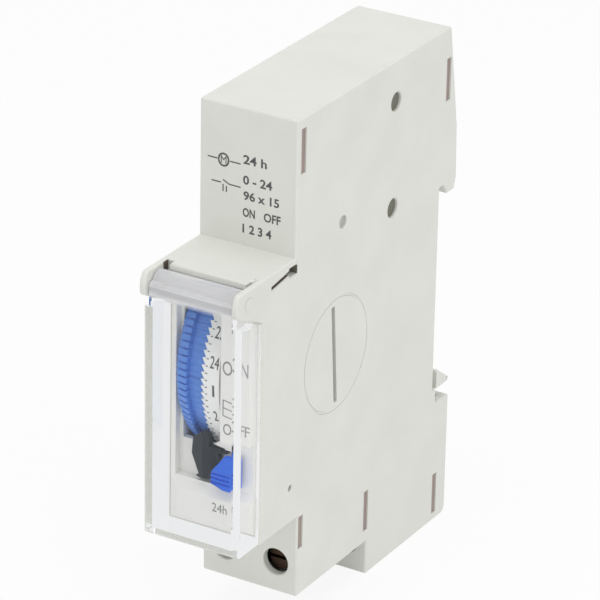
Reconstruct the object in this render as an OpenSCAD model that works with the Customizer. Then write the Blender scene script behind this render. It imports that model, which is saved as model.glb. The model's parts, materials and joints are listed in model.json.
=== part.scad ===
// Mechanical time switch, one module wide, for a 35 mm rail. Millimetres.
// X runs across the width, -Y is the front, +Z is up.
// The zero point is where the rail seat meets the rail's centre line.

/* [Housing] */
// Width of the whole body
body_w = 17.5; // [17.2:0.1:17.8]
// Thickness of the housing walls
wall = 1.4; // [1.2:0.1:1.5]
// Height of the top above the rail centre
top_z = 45.6; // [45:0.2:48]
// Upper front face in front of the rail seat
upper_depth = 45.5; // [45.2:0.1:46.5]
// Front edge of the side walls in front of the rail seat
front_depth = 55.0; // [54.8:0.1:55.1]
// Half the height of the lower front part
front_half = 22.8; // [22.6:0.1:23.2]
// Front of the first terminal step
step1_depth = 43.5; // [43.3:0.1:43.7]
// Underside of the first step below the rail centre
step1_drop = 37.2; // [37:0.1:38]
// Front of the second terminal step
step2_depth = 21.15; // [20.95:0.1:21.35]
// Underside of the second step below the rail centre
step2_drop = 43.3; // [43:0.1:44]
// Back of the lower block behind the rail seat
back_depth = 5.5; // [5.3:0.1:6]
// Back edge of the top face behind the rail seat
top_back = 2.2; // [1.8:0.1:3]
// Height of the bend in the upper back
bend_z = 27.6; // [26:0.2:30]

/* [Rail] */
// Half the height of the standard rail
rail_half = 17.5; // [17.4:0.1:17.6]
// Thickness of the rail flange
rail_t = 1.0; // [0.9:0.1:1.2]
// Free height over the upper rail edge
rail_play = 0.7; // [0.5:0.1:1]
// How far the upper hook reaches behind the flange
hook_grip = 1.1; // [0.8:0.1:1.5]
// How far the clip reaches behind the flange
clip_grip = 2.2; // [1.8:0.1:2.3]
// Way of the clip when it is pulled down
clip_travel = 2.4; // [2.3:0.1:2.6]
// Half the width of the clip blade
clip_half = 5.0; // [4:0.1:5.2]

/* [Cover] */
// Hinge axis in front of the side walls
hinge_reach = 4.0; // [3.9:0.1:4.2]
// Hinge axis under the shoulder
hinge_drop = 2.5; // [2.4:0.1:2.6]
// Radius of the hinge barrel
barrel_r = 1.9; // [1.8:0.1:2]
// Radius of the hinge stubs
stub_r = 0.9; // [0.7:0.1:1.1]
// Nose radius of the hinge ears
ear_r = 3.65; // [3.4:0.05:3.7]
// Thickness of the hinge ears
ear_t = 1.0; // [0.8:0.1:1.1]
// Front face of the cover in front of the side walls
cover_reach = 6.2; // [6:0.1:6.5]
// Wall thickness of the cover
cover_t = 1.2; // [0.9:0.1:1.3]
// Width of the cover
cover_w = 16.8; // [16.5:0.1:17]

/* [Dial] */
// Dial axis in front of the rail seat
dial_depth = 39.2; // [39.1:0.1:39.3]
// Dial axis above the rail centre
dial_z = 4.4; // [4.3:0.1:4.5]
// Outer radius of the tappet grips
dial_r = 18.0; // [17.9:0.1:18.1]
// Number of tappets, fifteen minutes each
tappet_count = 96; // [48:48:96]
// Sideways way of a tappet
tappet_travel = 1.2; // [0.9:0.1:1.3]
// Width of one tappet along the rim
tappet_w = 0.9; // [0.8:0.05:0.95]
// Radius of the fixed dial axle
axle_r = 1.5; // [1.3:0.1:1.8]
// Play between a wheel and its pin
run_play = 0.06; // [0.04:0.01:0.08]

/* [Gear train] */
// Tooth module of the dial stage
module_dial = 0.4; // [0.39:0.01:0.41]
// Tooth module of the fast stages
module_fast = 0.3; // [0.29:0.01:0.31]
// Teeth of the dial wheel
teeth_dial = 60; // [60:6:66]
// Teeth of every pinion
teeth_pinion = 10; // [10:1:11]
// Teeth of the slow reduction wheel
teeth_a = 48; // [46:2:50]
// Teeth of the idler wheel
teeth_b = 30; // [28:2:32]
// Radius of the wheel pins
pin_r = 0.6; // [0.5:0.05:0.65]

/* [Terminals] */
// Half the width of a box clamp
clamp_half = 2.4; // [2.2:0.1:2.5]
// Radius of the screwdriver holes
access_r = 2.3; // [2.2:0.05:2.4]
// Radius of the screw heads
head_r = 2.05; // [1.8:0.05:2.1]
// Radius of the screw shanks
shank_r = 1.4; // [1.2:0.05:1.5]
// Radius of the wire entries
wire_r = 1.6; // [1.4:0.05:1.65]
// Screw axis below the rail centre, first step
term1_z = 32.0; // [31.9:0.1:32.1]
// Screw axis below the rail centre, second step
term2_z = 38.2; // [38.1:0.1:38.3]
// Way of a clamp along its screw
clamp_travel = 2.0; // [1.5:0.1:2.1]

/* [Hidden] */
$fn = 64;

// Play between pieces that move past each other
play = 0.3;
// Small overlap that joins two shapes of one piece, or clears a cut
join = 0.2;
half_w = body_w / 2;
// Inner face of the side walls, also the parting plane of the side cover
in_w = half_w - wall;
front_y = -front_depth;
hinge_y = front_y - hinge_reach;
cover_y = front_y - cover_reach;
dial_y = -dial_depth;
// The shoulder clears the dial
shoulder = max(front_half, dial_z + dial_r + 0.4);
hinge_z = shoulder - hinge_drop;
// The clamps stand close to the side walls
term_x = in_w - clamp_half - 0.18;

// Colours for the preview
c_body = [0.86, 0.87, 0.84];
c_white = [0.93, 0.93, 0.92];
c_clear = [0.85, 0.92, 0.95, 0.35];
c_blue = [0.29, 0.43, 0.75];
c_dark = [0.24, 0.27, 0.29];
c_steel = [0.7, 0.71, 0.73];
c_brass = [0.75, 0.62, 0.36];
c_copper = [0.72, 0.42, 0.25];
c_green = [0.16, 0.42, 0.27];
c_black = [0.12, 0.12, 0.13];

// A block between two corner values on each axis
module block(x0, x1, y0, y1, z0, z1) {
    translate([x0, y0, z0])
        cube([x1 - x0, y1 - y0, z1 - z0]);
}

// A flat shape drawn in Y and Z, drawn out along X
module along_x(x0, x1) {
    translate([x0, 0, 0])
        rotate([90, 0, 90])
            linear_extrude(x1 - x0)
                children();
}

// A flat shape drawn in X and Z, drawn out along Y
module along_y(y0, y1) {
    translate([0, y1, 0])
        rotate([90, 0, 0])
            linear_extrude(y1 - y0)
                children();
}

// A rod along X
module rod_x(x0, x1, y, z, r) {
    translate([x0, y, z])
        rotate([0, 90, 0])
            cylinder(h = x1 - x0, r = r);
}

// A rod along Y
module rod_y(y0, y1, x, z, r) {
    translate([x, y0, z])
        rotate([-90, 0, 0])
            cylinder(h = y1 - y0, r = r);
}

// The housing as seen from the side
hook_top = rail_half + rail_play;
hook_tip = rail_half - hook_grip;
groove_d = rail_t + 0.4;
hook_nose = 2.6;
hook_back = 4.9;
seat_low = -rail_half - 1;
chan_y = 1.1;
lip_top = -rail_half + clip_grip;
lip_low = lip_top - 3.3;
block_top = lip_low - clip_travel - join;
neck_low = block_top - 0.3;
bevel_y = 0.9;
bevel_z = 0.7;

module outline() {
    polygon([
        [-upper_depth, top_z],
        [top_back, top_z],
        [back_depth - 0.3, bend_z],
        [back_depth, hook_top + 0.3],
        [hook_back, hook_tip],
        [hook_nose, hook_tip],
        [groove_d, hook_top],
        [0, hook_top],
        [0, seat_low],
        [chan_y, seat_low],
        [chan_y, block_top],
        [back_depth, block_top],
        [back_depth, -step2_drop + bevel_z],
        [back_depth - bevel_y, -step2_drop],
        [-step2_depth, -step2_drop],
        [-step2_depth, -step1_drop],
        [-step1_depth, -step1_drop],
        [-step1_depth, -front_half],
        [front_y, -front_half],
        [front_y, shoulder],
        [-upper_depth, shoulder]
    ]);
}

module cavity() {
    polygon([
        [-upper_depth + wall, top_z - wall],
        [top_back - wall, top_z - wall],
        [back_depth - 0.3 - wall, bend_z],
        [back_depth - 0.3 - wall, hook_top + wall],
        [-wall, hook_top + wall],
        [-wall, -step2_drop + wall],
        [-step2_depth + wall, -step2_drop + wall],
        [-step2_depth + wall, -step1_drop + wall],
        [-step1_depth + wall, -step1_drop + wall],
        [-step1_depth + wall, -front_half + wall],
        [front_y - 1, -front_half + wall],
        [front_y - 1, shoulder - wall],
        [-upper_depth + wall, shoulder - wall]
    ]);
}

// Hinge ear, a forward tongue of one side wall
ear_fall = 2.8 / 6.25;
ear_edge_y = hinge_y - 2.5;
ear_edge_z = hinge_z - 1.7;
function ear_low(y) = ear_edge_z - (y - ear_edge_y) * ear_fall;

module ear(x0, x1) {
    difference() {
        intersection() {
            union() {
                rod_x(x0, x1, hinge_y, hinge_z, ear_r);
                block(x0, x1, hinge_y, front_y + join, hinge_z - 8, shoulder);
            }
            along_x(x0, x1)
                polygon([
                    [hinge_y - 5, shoulder],
                    [front_y + join, shoulder],
                    [front_y + join, ear_low(front_y + join)],
                    [hinge_y - 5, ear_low(hinge_y - 5)]
                ]);
        }
        rod_x(x0 - 1, x1 + 1, hinge_y, hinge_z, stub_r + 0.1);
    }
}

// Snap places of the side cover: depth, low end, high end
snap_w = 1.4;
snaps = [
    [-upper_depth + 1.8, top_z - 9.2, top_z - 1.7],
    [top_back - 0.5, top_z - 12.6, top_z - 5.2],
    [-step1_depth + 1.0, -front_half - 6.0, -front_half - 0.2],
    [-step2_depth - 0.45, -step1_drop + 2.2, -step1_drop + 9.5],
    [chan_y + 0.5, -step2_drop + 1.3, -step2_drop + 8.7]
];
rib_low = -step1_drop + wall;
rib_top = rib_low + 8.6;

module snap_boxes(x0, x1, gap) {
    for (s = snaps)
        block(x0, x1, s[0] - snap_w / 2 + gap, s[0] + snap_w / 2 - gap, s[1] + gap, s[2] - gap);
}

// Round holes of the side cover that sit on posts of the shell
post_r = 1.3;
post_hole_r = 1.6;
posts = [[-15.2, top_z - 7.1], [-15.4, shoulder - 2.5]];

// Bosses that carry the movement plate
boss_r = 1.8;
screw_r = 0.8;
plate_x1 = in_w - 1.75;
plate_x0 = plate_x1 - 1.0;

// Where the wheels stand: each next to the one before it
stage_play = 0.1;
function tooth_gap(m, a, b) = m * (a + b) / 2 + stage_play;
dir_a = 60;
dir_b = 90;
dir_c = 30;
gap_a = tooth_gap(module_dial, teeth_dial, teeth_pinion);
gap_b = tooth_gap(module_fast, teeth_a, teeth_b);
gap_c = tooth_gap(module_fast, teeth_b, teeth_pinion);
a_y = dial_y + gap_a * cos(dir_a);
a_z = dial_z + gap_a * sin(dir_a);
b_y = a_y + gap_b * cos(dir_b);
b_z = a_z + gap_b * sin(dir_b);
c_y = b_y + gap_c * cos(dir_c);
c_z = b_z + gap_c * sin(dir_c);
// Turns that bring a gap of each driven wheel to face a tooth of the one before it
turn_b = dir_b + 180 + 180 / teeth_b;
turn_c = dir_c + 180 + 180 / teeth_pinion + (dir_c - turn_b) * teeth_b / teeth_pinion;

// Follower axis, under the front of the dial
fol_reach = dial_r + 4.108;
fol_dir = 252.63;
fol_y = dial_y + fol_reach * cos(fol_dir);
fol_z = dial_z + fol_reach * sin(fol_dir);
fol_pin_r = 0.55;

// Switch under the dial, set out from the follower's tail
tail_half = 1.5;
tail_t = 1.3;
tail_z1 = fol_z - 0.4;
tail_z0 = tail_z1 - tail_t;
blade_z0 = tail_z1 + 0.1;
blade_t = 0.3;
fixed_z0 = blade_z0 + 2.25;
fixed_t = 0.5;
base_z0 = blade_z0 - 3;
base_z1 = fixed_z0 + fixed_t + 0.8;

bosses = [
    [-upper_depth + wall + 3.6, b_z + 5],
    [-15, 14],
    [-17.5, base_z1 + boss_r + 1.8]
];

// Stator stack round the rotor
stack_x0 = -2.6;
stack_x1 = -0.6;
stack_half = 6.0;
stack_leg = 2.4;
core_y0 = c_y + 14.6;
core_y1 = core_y0 + stack_leg;
stack_posts = [[c_y - 3.4, c_z + 4.4], [c_y + 9, c_z - stack_half + stack_leg / 2]];

// Clip channel in the lower block
chan_half = clip_half + play;
chan_back = back_depth - wall;
pry_half = 3.0;
pry_z = -step2_drop + 4.8;
// Fixed rib that the clip spring stands on
rest_half = 1.6;
rest_low = -35.9;
rest_top = -34.7;

// Terminal places: X, front face, screw axis height, underside
terms = [
    [term_x, -step1_depth, -term1_z, -step1_drop],
    [-term_x, -step1_depth, -term1_z, -step1_drop],
    [term_x, -step2_depth, -term2_z, -step2_drop],
    [-term_x, -step2_depth, -term2_z, -step2_drop]
];
// Offsets behind the front face of a step
head_at = 1.9;
head_len = 1.6;
bar_at = 9.0;
bar_t = 0.8;
bar_half = 1.4;
clamp_at = head_at + head_len + clamp_travel + 0.4;
clamp_front = 1.2;
wire_room = 2 * wire_r + 0.1;
clamp_in = bar_at + bar_t + wire_room;
clamp_back = clamp_in + 1.0;
wire_at = bar_at + bar_t + wire_room / 2;
clamp_side = 0.7;
clamp_len = 2.7;

module main_shell() {
    color(c_body)
    difference() {
        union() {
            difference() {
                along_x(-half_w, in_w)
                    outline();
                along_x(-in_w, in_w + 1)
                    cavity();
            }
            ear(-half_w, -half_w + ear_t);
            canopy();
            snap_boxes(in_w - join, in_w + 0.3, 0.2);
            block(-in_w - join, in_w, snaps[3][0] - wall / 2, snaps[3][0] + wall / 2,
                rib_low - join, rib_top);
            for (p = posts)
                rod_x(-in_w - join, half_w - 0.6, p[0], p[1], post_r);
            for (b = bosses)
                rod_x(-in_w - join, plate_x0, b[0], b[1], boss_r);
            for (p = stack_posts)
                rod_x(-in_w - join, stack_x0, p[0], p[1], 1.1);
            rod_x(-in_w - join, -6.3, dial_y, dial_z, axle_r + 1.5);
        }
        // clip channel with its way for a blade
        difference() {
            block(-chan_half, chan_half, chan_y, chan_back, -step2_drop - 1, block_top + 1);
            block(-rest_half, rest_half, chan_y - 1, chan_back - 0.4, rest_low, rest_top);
        }
        block(-in_w, in_w + 1, chan_y, chan_back, neck_low - clip_travel - join, block_top + 1);
        block(-pry_half, pry_half, chan_back - 1, back_depth + 1, -step2_drop - 1, pry_z);
        for (t = terms) {
            rod_y(t[1] - 1, t[1] + wall + join, t[0], t[2], access_r);
            translate([t[0], t[1] + wire_at, t[3] - 1])
                cylinder(h = wall + 1 + join, r = wire_r);
        }
        for (b = bosses)
            rod_x(plate_x0 - 5, plate_x0 + 1, b[0], b[1], screw_r);
        rod_x(-in_w - 0.8, -6, dial_y, dial_z, axle_r);
        // room for the dial under the shoulder
        rod_x(-in_w + 1.2, ring_x1 + play, dial_y, dial_z, dial_r + play);
        rod_x(-in_w - 0.8, -in_w + 1, fol_y, fol_z, fol_pin_r);
    }
}

// Forward end of the shoulder: a tongue with open corners, cut round to clear the hinge barrel
tongue_y = hinge_y + 1.6;
corner_y = tongue_y + 1.4;
ear_in = half_w - ear_t;
module canopy() {
    difference() {
        union() {
            block(-ear_in - join, ear_in - 0.15, corner_y, front_y + join, shoulder - wall, shoulder);
            block(-ear_in + 1.2, ear_in - 0.6, tongue_y, corner_y + join, shoulder - wall, shoulder);
        }
        rod_x(-half_w, half_w, hinge_y, hinge_z, barrel_r + play);
    }
}

// Marks moulded into the side cover
ring_y = -32.6;
ring_z = 1.5;
ring_r = 9.7;
slit_len = 17.2;
slit_w = 1.0;
slit_tilt = -7;
mark_d = 0.3;
groove_y = front_y + 7.8;

module side_cover() {
    color(c_body)
    difference() {
        union() {
            along_x(in_w, half_w)
                outline();
            ear(half_w - ear_t, half_w);
        }
        snap_boxes(in_w - 1, half_w + 1, 0);
        for (p = posts)
            rod_x(in_w - 1, half_w + 1, p[0], p[1], post_hole_r);
        rod_x(in_w - 1, half_w + 1, fol_y, fol_z, fol_pin_r);
        rod_x(half_w - mark_d, half_w + 1, -31.3, 23.8, 1.1);
        translate([0, ring_y, ring_z])
            rotate([slit_tilt, 0, 0])
                block(in_w - 1, half_w + 1, -slit_w / 2, slit_w / 2, -slit_len / 2, slit_len / 2);
        difference() {
            rod_x(half_w - mark_d, half_w + 1, ring_y, ring_z, ring_r + 0.2);
            rod_x(half_w - 1, half_w + 2, ring_y, ring_z, ring_r - 0.2);
        }
        // thin groove under the shoulder with a square end
        along_x(half_w - 0.7, half_w + 1)
            polygon([[groove_y - 5.2, shoulder - 2.8], [groove_y + join, shoulder - 2.1],
                [groove_y + join, shoulder - 1.4], [groove_y - 5.2, shoulder - 2.2]]);
        block(in_w - 1, half_w + 1, groove_y, groove_y + 2.4, shoulder - 2.7, shoulder - 1.1);
    }
}

// Front panel: window, wide corner for the selector, pointer and lower block
panel_y = front_y - 0.5;
panel_mid = front_y + 0.1;
panel_back = front_y + 1.1;
raised_half = cover_w / 2 - cover_t - play;
raised_low = -front_half + 1.9;
win_x0 = -half_w + 2.65;
win_x1 = 2.9;
// Raised strip with the print, level with the front of the dial
strip_y = dial_y - dial_r + 0.1;
pointer_len = 2.15;
win_z0 = dial_z - dial_r * 0.9889;
win_z1 = dial_z + dial_r * 0.6333;
wide_x = 4.4;
wide_z = win_z0 + 6.5;
// Proud block under the window with sloped edges
lower_y = panel_y - 1.1;
lower_top = win_z0 - 0.4;
// White wall behind the window, open for the dial, the follower arm and the selector stem
wall_back = panel_back + 0.8;
slot_half = sqrt(pow(dial_r, 2) - pow(wall_back - dial_y, 2)) + 0.4;

module lower_block() {
    intersection() {
        along_x(-raised_half, raised_half)
            polygon([[panel_mid, raised_low], [panel_y, raised_low], [lower_y, raised_low + 1],
                [lower_y, lower_top - 1.5], [panel_y, lower_top], [panel_mid, lower_top]]);
        translate([0, 0, raised_low])
            linear_extrude(lower_top - raised_low)
                polygon([[-raised_half, panel_mid], [-raised_half, panel_y], [-raised_half + 1.7, lower_y],
                    [raised_half, lower_y], [raised_half, panel_mid]]);
    }
}

module front_panel() {
    color(c_white)
    union() {
        difference() {
            union() {
                block(-in_w, in_w, panel_mid, panel_back, -front_half + wall, shoulder - wall);
                block(-raised_half, raised_half, panel_y, panel_mid + join, raised_low, hinge_z - 3.1);
                block(win_x1, raised_half, strip_y, panel_y + join, strip_low, hinge_z - 3.1);
                lower_block();
            }
            block(win_x0, win_x1, lower_y - 1, panel_back + 1, win_z0, win_z1);
            block(win_x1 - 1, wide_x, lower_y - 1, panel_back + 1, win_z0, wide_z);
        }
        difference() {
            block(win_x0 - 0.6, wide_x + 0.6, panel_back - join, wall_back, win_z0 - 0.6, win_z1 + 0.6);
            block(grip_x0 - play, win_x1, panel_back - 1, wall_back + 1, dial_z - slot_half, win_z1 + 1);
            block(arm_x0 - play, arm_x1 + play, panel_back - 1, wall_back + 1, win_z0, arm_top + play);
            block(stem_x0 - play, wide_x, panel_back - 1, wall_back + 1, win_z0, stem_top + sel_travel + play);
        }
        along_y(panel_y, panel_y + 0.5)
            polygon([[win_x1 + join, wide_z + 2.0], [win_x1 - pointer_len, wide_z + 0.4],
                [win_x1 + join, wide_z + 0.1]]);
    }
}

cover_half = cover_w / 2;
cover_low = -front_half + 0.3;
cover_rim = front_y - play;
cover_gap = 0.35;
// Thick bar along the top of the cover
bar_top = hinge_z + 0.7;
bar_low = hinge_z - 1.4;
barrel_half = half_w - ear_t - 0.25;

module front_cover() {
    color(c_clear)
    union() {
        difference() {
            union() {
                block(-cover_half, cover_half, cover_y, cover_y + cover_t, cover_low, hinge_z - 2);
                block(-barrel_half, barrel_half, cover_y, cover_y + cover_t, 0, bar_top);
                block(-barrel_half, barrel_half, cover_y, hinge_y, bar_low, bar_top);
                block(-cover_half, cover_half, cover_y, cover_rim, cover_low, cover_low + cover_t);
                for (s = [-1, 1])
                    along_x(s > 0 ? cover_half - cover_t : -cover_half,
                        s > 0 ? cover_half : -cover_half + cover_t)
                        polygon([[cover_y, cover_low], [cover_rim, cover_low],
                            [cover_rim, ear_low(cover_rim) - cover_gap],
                            [cover_y, ear_low(cover_y) - cover_gap]]);
            }
            for (s = [-1, 1])
                rod_x(s > 0 ? barrel_half : -half_w - 1, s > 0 ? half_w + 1 : -barrel_half,
                    hinge_y, hinge_z, ear_r + play);
        }
        rod_x(-barrel_half, barrel_half, hinge_y, hinge_z, barrel_r);
        rod_x(-half_w + 0.1, half_w - 0.1, hinge_y, hinge_z, stub_r);
    }
}

// Rail clip: lip over the full width, blade in the channel, window for the spring
clip_y0 = chan_y + play;
clip_y1 = chan_back - join;
lip_y0 = rail_t + 0.4;
neck_half = in_w - 0.25;
spring_top = -24.0;
win_half = 2.2;
eye_half = 1.8;

module din_clip() {
    color(c_white)
    difference() {
        union() {
            along_x(-half_w + 0.15, half_w - 0.15)
                polygon([[lip_y0, lip_low], [lip_y0, lip_top - 0.2], [lip_y0 + 0.5, lip_top],
                    [back_depth - 0.3, lip_top - 2.4], [back_depth - 0.05, lip_top - 3.0],
                    [back_depth - 0.05, lip_low]]);
            block(-neck_half, neck_half, clip_y0, clip_y1, neck_low, lip_low + join);
            block(-clip_half, clip_half, clip_y0, clip_y1, -step2_drop + 0.3, lip_low + join);
        }
        block(-win_half, win_half, clip_y0 - 1, clip_y1 + 1, rest_low - clip_travel - 0.3, spring_top);
        block(-eye_half, eye_half, clip_y0 - 1, clip_y1 + 1, -step2_drop + 1.3, -step2_drop + 3.1);
    }
}

// Clip spring: one unbroken tube wound round Z
coil_r = 0.9;
coil_wire = 0.22;
coil_turns = 7;
coil_steps = 8;
coil_sides = 6;
coil_low = rest_top + coil_wire;
coil_len = spring_top - rest_top - 2 * coil_wire;
coil_y = (clip_y0 + clip_y1) / 2;
coil_rings = coil_turns * coil_steps;
coil_pts = [for (i = [0:coil_rings], k = [0:coil_sides - 1])
    let (a = 360 * i / coil_steps, b = 360 * k / coil_sides, r = coil_r + coil_wire * cos(b))
    [r * cos(a), coil_y + r * sin(a), coil_low + coil_len * i / coil_rings + coil_wire * sin(b)]];
coil_faces = concat(
    [[for (k = [0:coil_sides - 1]) k]],
    [for (i = [0:coil_rings - 1], k = [0:coil_sides - 1])
        let (n = (k + 1) % coil_sides, p = i * coil_sides, q = p + coil_sides)
        [p + k, q + k, q + n, p + n]],
    [[for (k = [coil_sides - 1:-1:0]) coil_rings * coil_sides + k]]);
coil_gap = coil_len / coil_turns - 2 * coil_wire;
echo(coil_gap = coil_gap);

module clip_spring() {
    color(c_steel)
        polyhedron(points = coil_pts, faces = coil_faces, convexity = 8);
}

// Dial: radii from the rim inward, X places from the window edge to the right
ring_out = dial_r - 0.1;
ring_in = dial_r - 0.7;
low_r = dial_r - 1.0;
seat_out = dial_r - 2.6;
seat_in = seat_out - 1.4;
hub_r = axle_r + 1.5;
grip_x0 = win_x0 + 0.85;
grip_x1 = grip_x0 + 1.95;
ring_x0 = 0;
ring_x1 = 2.4;
web_x0 = 1.2;
web_x1 = 1.6;
low_x1 = web_x0 - tappet_travel - 0.3;
wheel_t = 0.8;
gear_x1 = web_x1 + wheel_t;
washer_t = 0.3;
hub_x0 = -3.0;
hub_x1 = 4.0;

module dial_drum() {
    color(c_white)
    translate([0, dial_y, dial_z])
        rotate([0, 90, 0])
            rotate_extrude()
                polygon([[axle_r + run_play, hub_x0], [hub_r, hub_x0], [hub_r, web_x0],
                    [seat_in, web_x0], [seat_in, grip_x0], [seat_out, grip_x0], [seat_out, web_x0],
                    [ring_in, web_x0], [ring_in, ring_x0], [ring_out, ring_x0], [ring_out, ring_x1],
                    [ring_in, ring_x1], [ring_in, web_x1], [hub_r, web_x1], [hub_r, hub_x1],
                    [axle_r + run_play, hub_x1]]);
}

// One quarter of the tappets; each is a sloped grip with a low tongue beside it
module tappets(first) {
    each_turn = 360 / tappet_count;
    color(c_blue)
    translate([0, dial_y, dial_z])
        for (i = [0:tappet_count / 4 - 1])
            rotate([(first + i + 0.5) * each_turn, 0, 0])
                linear_extrude(tappet_w, center = true)
                    polygon([[grip_x0, -seat_out - join], [grip_x0, -dial_r + 0.5], [grip_x1 - 0.4, -dial_r],
                        [grip_x1, -dial_r + 0.05], [grip_x1, -low_r], [low_x1, -low_r],
                        [low_x1, -seat_out - join]]);
}

module tappets_a() {
    tappets(0);
}

module tappets_b() {
    tappets(tappet_count / 4);
}

module tappets_c() {
    tappets(tappet_count / 2);
}

module tappets_d() {
    tappets(tappet_count * 3 / 4);
}

// Flat toothed wheel with thin straight teeth; a tooth stands at angle zero
tip_add = 0.8;
root_add = 1.2;
function spoke(r, a) = [r * cos(a), r * sin(a)];
module teeth(m, n) {
    r = m * n / 2;
    step = 360 / n;
    polygon([for (i = [0:n - 1], c = [[-0.25, -root_add], [-0.1, tip_add], [0.1, tip_add], [0.25, -root_add]])
        spoke(r + c[1] * m, (i + c[0]) * step)]);
}

// A toothed wheel standing on X, turned so that its mesh fits
module gear(x0, x1, y, z, m, n, turn) {
    translate([0, y, z])
        along_x(x0, x1)
            rotate(turn)
                teeth(m, n);
}

module dial_wheel() {
    color(c_dark)
    difference() {
        gear(web_x1, gear_x1, dial_y, dial_z, module_dial, teeth_dial, dir_a);
        rod_x(web_x1 - 1, gear_x1 + 1, dial_y, dial_z, hub_r);
    }
}

module clutch_washer() {
    color(c_steel)
    difference() {
        rod_x(gear_x1, gear_x1 + washer_t, dial_y, dial_z, hub_r + 2.5);
        rod_x(gear_x1 - 1, gear_x1 + 1, dial_y, dial_z, hub_r);
    }
}

module dial_axle() {
    color(c_steel)
        rod_x(-in_w - 0.8, plate_x1, dial_y, dial_z, axle_r);
}

// Movement plate on the bosses, and its screws
module movement_plate() {
    color(c_white)
    difference() {
        along_x(plate_x0, plate_x1)
            polygon([
                [bosses[0][0] - 3, bosses[0][1] + 2.5],
                [c_y - 3, c_z + 2.5],
                [c_y + 3, c_z + 2.5],
                [posts[1][0] - 3.2, posts[1][1] + 3],
                [posts[1][0] - 3.2, posts[1][1] - 3],
                [bosses[1][0] + 2.5, bosses[1][1] + 2.3],
                [bosses[2][0] + 2.7, bosses[2][1] - 2.5],
                [bosses[2][0] - 2.7, bosses[2][1] - 2.5],
                [dial_y - 3.4, dial_z - 3.4],
                [dial_y - 3.4, dial_z + 3.4],
                [bosses[0][0] - 3, bosses[0][1] - 2.5]
            ]);
        for (b = bosses)
            rod_x(plate_x0 - 1, plate_x1 + 1, b[0], b[1], screw_r);
        rod_x(plate_x0 - 1, plate_x1 + 1, dial_y, dial_z, axle_r);
        rod_x(plate_x0 - 1, plate_x1 + 1, a_y, a_z, pin_r);
        rod_x(plate_x0 - 1, plate_x1 + 1, b_y, b_z, pin_r);
        rod_x(plate_x0 - 1, plate_x1 + 1, c_y, c_z, pin_r);
    }
}

module movement_screws() {
    color(c_steel)
    for (b = bosses)
        difference() {
            union() {
                rod_x(plate_x1, plate_x1 + 0.9, b[0], b[1], 1.6);
                rod_x(plate_x0 - 4.5, plate_x1 + join, b[0], b[1], screw_r);
            }
            block(plate_x1 + 0.4, plate_x1 + 2, b[0] - 2, b[0] + 2, b[1] - 0.2, b[1] + 0.2);
        }
}

// Reduction wheel with its pinion, and the idler that hands on to the rotor
layer_x0 = web_x1 + 0.2;
layer_x1 = gear_x1 + play;
layer_x2 = layer_x1 + 0.7;
free_x = plate_x0 - play;

module wheel_a() {
    color(c_dark)
    difference() {
        union() {
            gear(layer_x0, layer_x1 + join, a_y, a_z, module_dial, teeth_pinion,
                dir_a + 180 + 180 / teeth_pinion);
            gear(layer_x1, layer_x2, a_y, a_z, module_fast, teeth_a, dir_b);
            rod_x(layer_x2 - join, free_x, a_y, a_z, pin_r + 0.7);
        }
        rod_x(layer_x0 - 1, free_x + 1, a_y, a_z, pin_r + run_play);
    }
}

module wheel_b() {
    color(c_dark)
    difference() {
        union() {
            gear(layer_x0 + 0.1, layer_x2, b_y, b_z, module_fast, teeth_b, turn_b);
            rod_x(layer_x2 - join, free_x, b_y, b_z, pin_r + 0.7);
        }
        rod_x(layer_x0 - 1, free_x + 1, b_y, b_z, pin_r + run_play);
    }
}

module wheel_pins() {
    color(c_steel) {
        rod_x(layer_x0, plate_x1, a_y, a_z, pin_r);
        rod_x(layer_x0, plate_x1, b_y, b_z, pin_r);
    }
}

// Motor
magnet_r = 3.2;
magnet_x0 = -4.0;
magnet_x1 = 0.8;

module rotor_magnet() {
    color(c_black)
    difference() {
        rod_x(magnet_x0, magnet_x1, c_y, c_z, magnet_r);
        rod_x(magnet_x0 - 1, magnet_x1 + 1, c_y, c_z, pin_r + run_play);
    }
}

module rotor_pinion() {
    color(c_white)
    difference() {
        union() {
            rod_x(magnet_x1, layer_x0 + join, c_y, c_z, pin_r + 0.4);
            gear(layer_x0, gear_x1 + 0.1, c_y, c_z, module_fast, teeth_pinion, turn_c);
        }
        rod_x(magnet_x1 - 1, gear_x1 + 1, c_y, c_z, pin_r + run_play);
    }
}

module rotor_pin() {
    color(c_steel)
        rod_x(-in_w, plate_x1, c_y, c_z, pin_r);
}

module stator() {
    color(c_steel)
    difference() {
        union() {
            block(stack_x0, stack_x1, c_y - 5, c_y + 5, c_z - stack_half, c_z + stack_half);
            block(stack_x0, stack_x1, c_y, core_y1, c_z + stack_half - stack_leg, c_z + stack_half);
            block(stack_x0, stack_x1, c_y, core_y1, c_z - stack_half, c_z - stack_half + stack_leg);
            block(stack_x0, stack_x1, core_y0, core_y1, c_z - stack_half, c_z + stack_half);
        }
        rod_x(stack_x0 - 1, stack_x1 + 1, c_y, c_z, magnet_r + 0.4);
        for (p = posts)
            rod_x(stack_x0 - 1, stack_x1 + 1, p[0], p[1], post_r + play);
    }
}

// Bobbin and winding round the core of the stack
core_x = (stack_x0 + stack_x1) / 2;
core_y = (core_y0 + core_y1) / 2;
coil_room = stack_half - stack_leg - 0.1;
tube_r = 2.0;
wind_r = 3.6;
flange_t = 0.6;

module bobbin() {
    color(c_white)
    difference() {
        union() {
            translate([core_x, core_y, c_z - coil_room])
                cylinder(h = 2 * coil_room, r = tube_r);
            for (z = [c_z - coil_room, c_z + coil_room - flange_t])
                translate([core_x, core_y, z])
                    cylinder(h = flange_t, r = wind_r + 0.3);
        }
        block(stack_x0, stack_x1, core_y0, core_y1, c_z - stack_half, c_z + stack_half);
    }
}

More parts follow.
